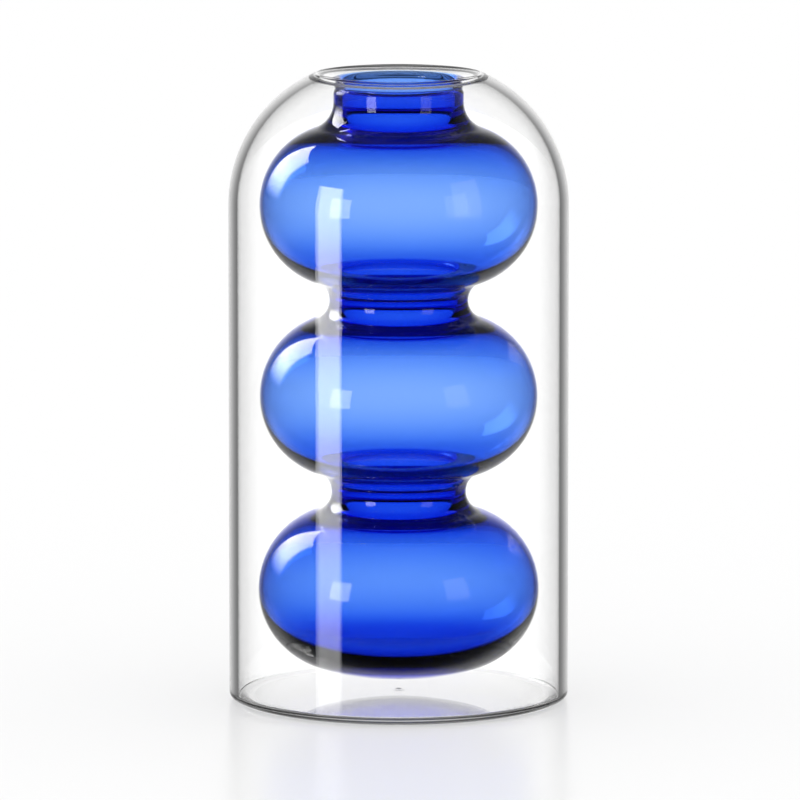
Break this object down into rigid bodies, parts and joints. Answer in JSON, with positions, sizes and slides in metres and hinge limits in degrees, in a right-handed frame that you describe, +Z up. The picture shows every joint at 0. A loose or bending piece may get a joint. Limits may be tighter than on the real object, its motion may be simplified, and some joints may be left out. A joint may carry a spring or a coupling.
{
  "type": "vase",
  "caption": "Double-walled glass vase: a coloured vessel of round bulbs and waists hangs by its neck inside a clear straight jacket with a round shoulder and a rolled rim.",
  "frame": {"origin": "on the vase's axis, in the plane that its foot ring stands on", "axes": "+Z up along the axis; the vase is turned, so X and Y are any two level directions, and the picture is taken from the -Y side"},
  "size_m": [0.1076, 0.1076, 0.2],
  "materials": {
    "clear_glass": "fire-polished clear glass",
    "blue_glass": "fire-polished transparent blue glass"
  },
  "bodies": {
    "root": {"outer_jacket": "clear_glass", "mouth_flange": "clear_glass", "inner_vessel": "blue_glass", "base_disc": "clear_glass", "vent_seal": "clear_glass"}
  },
  "joints": []
}
